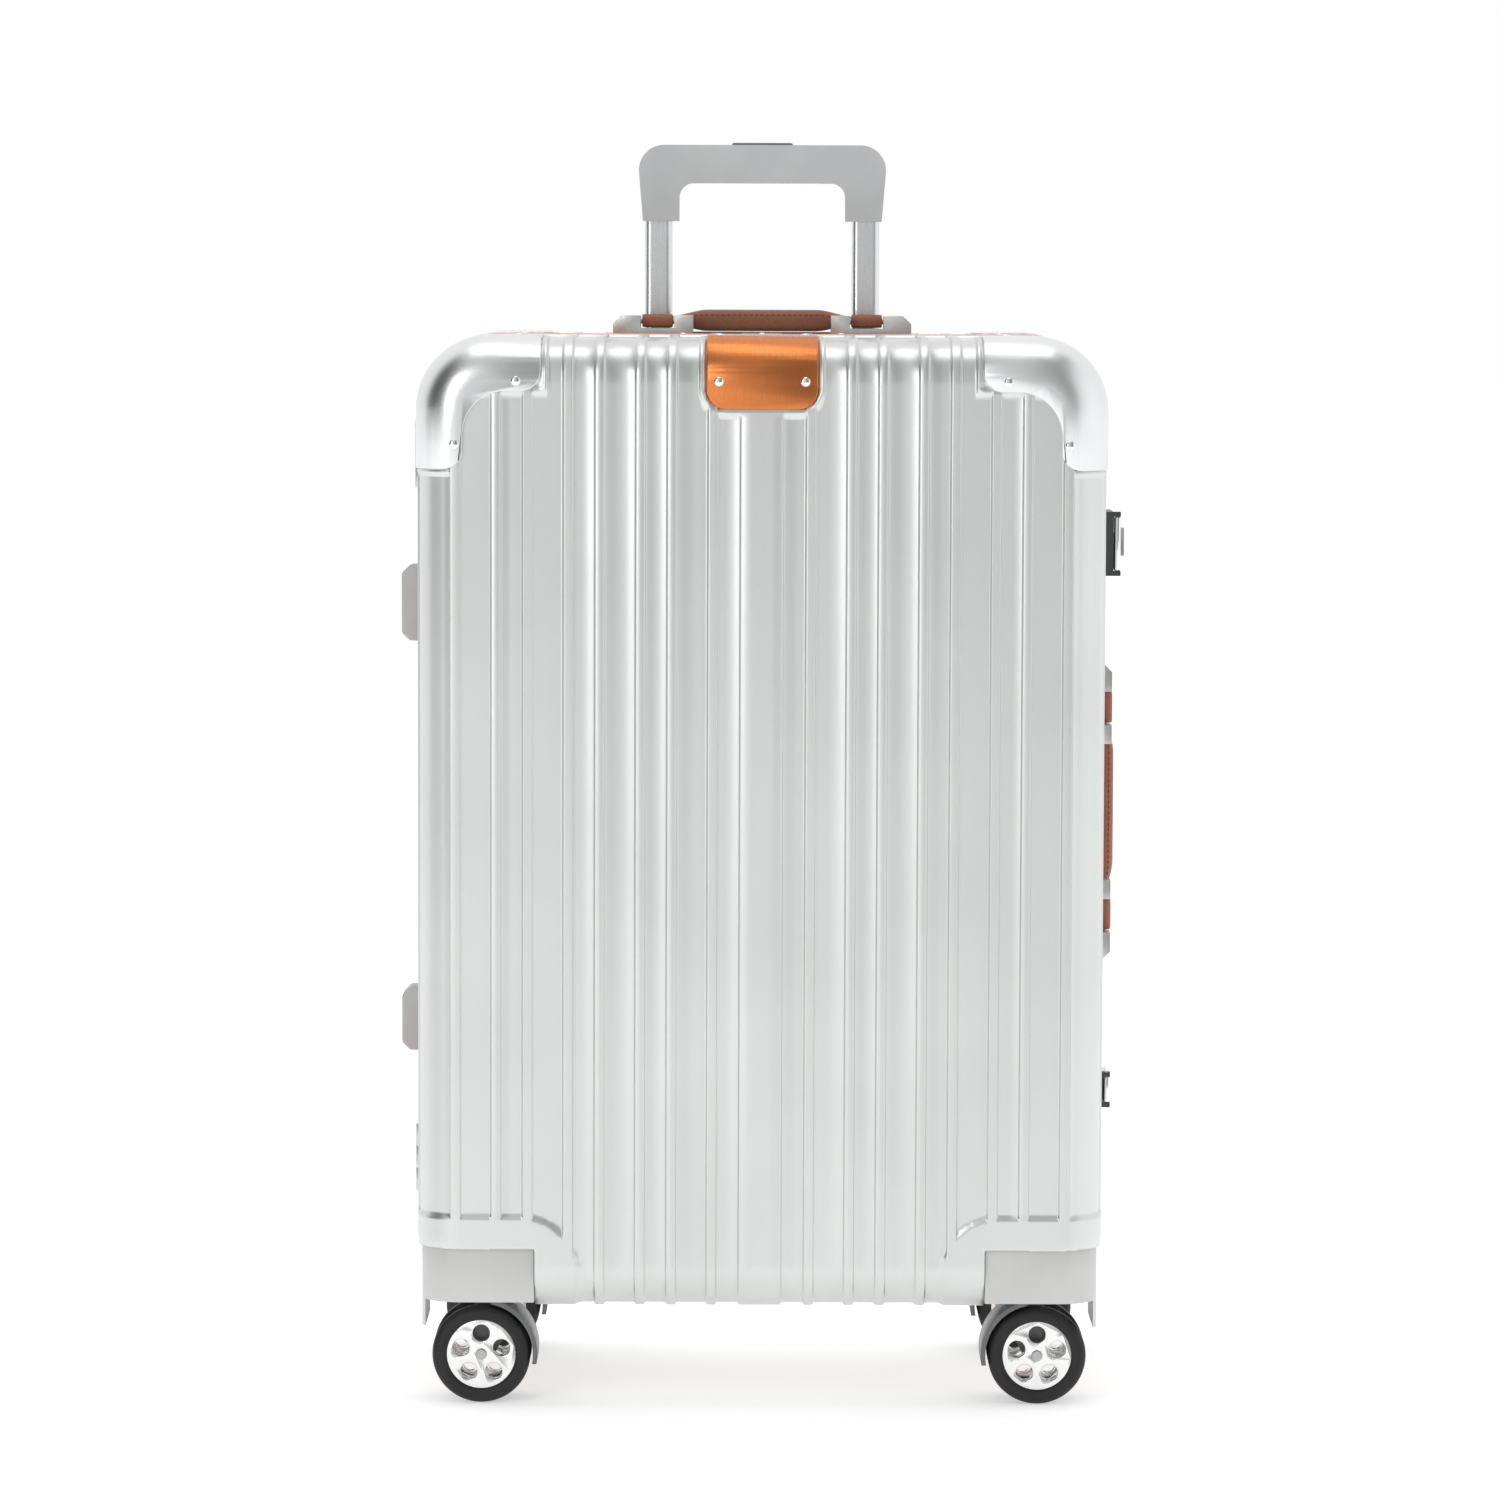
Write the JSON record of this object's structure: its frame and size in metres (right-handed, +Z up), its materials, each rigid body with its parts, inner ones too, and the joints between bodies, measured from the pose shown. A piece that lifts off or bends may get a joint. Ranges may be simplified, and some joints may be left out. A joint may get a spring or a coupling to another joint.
{
  "type": "hard shell suitcase",
  "caption": "Ribbed hard shell suitcase on twin-wheel casters, with a telescopic trolley handle, carry handles, a hinged lid, lever latches and corner guards.",
  "frame": {"origin": "on the floor, under the middle of the case", "axes": "+Z up, +X towards the latches, -Y towards the lid's face, which the picture shows"},
  "size_m": [0.4508, 0.2668, 0.7715],
  "materials": {
    "shell": "satin metallic silver with a fine texture",
    "frame": "anodised copper, satin",
    "guard": "satin silver",
    "plate": "brushed, anodised copper",
    "rivet": "polished",
    "gasket": "matte",
    "lining": "fine woven cloth",
    "strap": "ribbed elastic webbing",
    "buckle": "matte",
    "tube": "satin anodised",
    "trolley_plastic": "fine texture",
    "grip": "satin light grey",
    "button": "satin light grey",
    "bracket": "satin die-cast",
    "leather": "saddle brown, fine grain",
    "steel": "plain",
    "latch": "polished",
    "latch_base": "dark, matte",
    "foot": "fine texture",
    "housing": "satin warm grey",
    "fork": "dark grey, satin",
    "hub": "bright silver",
    "tyre": "smooth black rubber"
  },
  "bodies": {
    "rear_case": {"rear_shell": "shell", "rear_frame": "frame", "frame_gasket": "gasket", "rear_guard_left": "guard", "rear_guard_right": "guard", "rear_rivets": "rivet", "rear_lining": "lining", "cross_straps": "strap", "strap_buckle": "buckle", "trolley_outer_tubes": "tube", "trolley_base": "trolley_plastic", "trolley_socket": "trolley_plastic", "top_handle_brackets": "bracket", "side_handle_brackets": "bracket", "handle_pins": "steel", "latch_keepers": "latch_base", "hinge_leaves_rear": "steel", "hinge_pins": "steel", "hook_foot": "foot", "plain_foot": "foot", "rear_left_housing": "housing", "rear_right_housing": "housing", "rear_kingpins": "steel"},
    "front_case": {"front_shell": "shell", "front_frame": "frame", "front_guard_left": "guard", "front_guard_right": "guard", "centre_plate": "plate", "front_rivets": "rivet", "front_lining": "lining", "upper_latch_base": "latch_base", "lower_latch_base": "latch_base", "hinge_leaves_front": "steel", "front_left_housing": "housing", "front_right_housing": "housing", "front_kingpins": "steel"},
    "trolley_mid": {"trolley_mid_tubes": "tube"},
    "trolley_handle": {"trolley_inner_tubes": "tube", "trolley_grip": "grip"},
    "trolley_button": {"trolley_button": "button"},
    "top_handle": {"top_handle": "leather"},
    "side_handle": {"side_handle": "leather"},
    "upper_latch": {"upper_latch_lever": "latch"},
    "lower_latch": {"lower_latch_lever": "latch"},
    "front_left_caster": {"front_left_fork": "fork"},
    "front_left_wheels": {"front_left_tyres": "tyre", "front_left_hubs": "hub", "front_left_axle": "steel"},
    "front_right_caster": {"front_right_fork": "fork"},
    "front_right_wheels": {"front_right_tyres": "tyre", "front_right_hubs": "hub", "front_right_axle": "steel"},
    "rear_left_caster": {"rear_left_fork": "fork"},
    "rear_left_wheels": {"rear_left_tyres": "tyre", "rear_left_hubs": "hub", "rear_left_axle": "steel"},
    "rear_right_caster": {"rear_right_fork": "fork"},
    "rear_right_wheels": {"rear_right_tyres": "tyre", "rear_right_hubs": "hub", "rear_right_axle": "steel"}
  },
  "joints": [
    {"name": "lid_hinge", "type": "hinge", "parent": "rear_case", "child": "front_case", "pos_m": [-0.2125, 0, 0.3565], "axis": [0, 0, -1], "range_deg": [0, 95]},
    {"name": "trolley_lower_slide", "type": "slide", "parent": "rear_case", "child": "trolley_mid", "axis": [0, 0, 1], "range_m": [0, 0.215]},
    {"name": "trolley_upper_slide", "type": "slide", "parent": "trolley_mid", "child": "trolley_handle", "axis": [0, 0, 1], "range_m": [-0.115, 0.1]},
    {"name": "trolley_button_press", "type": "slide", "parent": "trolley_handle", "child": "trolley_button", "axis": [0, 0, 1], "range_m": [-0.0025, 0], "stiffness_N_per_m": 600, "springref_m": 0.001},
    {"name": "top_handle_hinge", "type": "hinge", "parent": "rear_case", "child": "top_handle", "pos_m": [0, 0.028, 0.6597], "axis": [1, 0, 0], "range_deg": [0, 95]},
    {"name": "side_handle_hinge", "type": "hinge", "parent": "rear_case", "child": "side_handle", "pos_m": [0.2167, 0.028, 0.353], "axis": [0, 0, -1], "range_deg": [0, 95]},
    {"name": "upper_latch_hinge", "type": "hinge", "parent": "front_case", "child": "upper_latch", "pos_m": [0.2194, -0.036, 0.524], "axis": [0, 0, -1], "range_deg": [0, 110]},
    {"name": "lower_latch_hinge", "type": "hinge", "parent": "front_case", "child": "lower_latch", "pos_m": [0.2154, -0.036, 0.185], "axis": [0, 0, -1], "range_deg": [0, 110]},
    {"name": "front_left_swivel", "type": "hinge", "parent": "front_case", "child": "front_left_caster", "pos_m": [-0.158, -0.088, 0.066], "axis": [0, 0, 1], "continuous": true},
    {"name": "front_left_spin", "type": "hinge", "parent": "front_left_caster", "child": "front_left_wheels", "pos_m": [-0.17, -0.088, 0.03], "axis": [0, 1, 0], "continuous": true},
    {"name": "front_right_swivel", "type": "hinge", "parent": "front_case", "child": "front_right_caster", "pos_m": [0.158, -0.088, 0.066], "axis": [0, 0, 1], "continuous": true},
    {"name": "front_right_spin", "type": "hinge", "parent": "front_right_caster", "child": "front_right_wheels", "pos_m": [0.17, -0.088, 0.03], "axis": [0, 1, 0], "continuous": true},
    {"name": "rear_left_swivel", "type": "hinge", "parent": "rear_case", "child": "rear_left_caster", "pos_m": [-0.158, 0.088, 0.066], "axis": [0, 0, 1], "continuous": true},
    {"name": "rear_left_spin", "type": "hinge", "parent": "rear_left_caster", "child": "rear_left_wheels", "pos_m": [-0.17, 0.088, 0.03], "axis": [0, 1, 0], "continuous": true},
    {"name": "rear_right_swivel", "type": "hinge", "parent": "rear_case", "child": "rear_right_caster", "pos_m": [0.158, 0.088, 0.066], "axis": [0, 0, 1], "continuous": true},
    {"name": "rear_right_spin", "type": "hinge", "parent": "rear_right_caster", "child": "rear_right_wheels", "pos_m": [0.17, 0.088, 0.03], "axis": [0, 1, 0], "continuous": true}
  ]
}
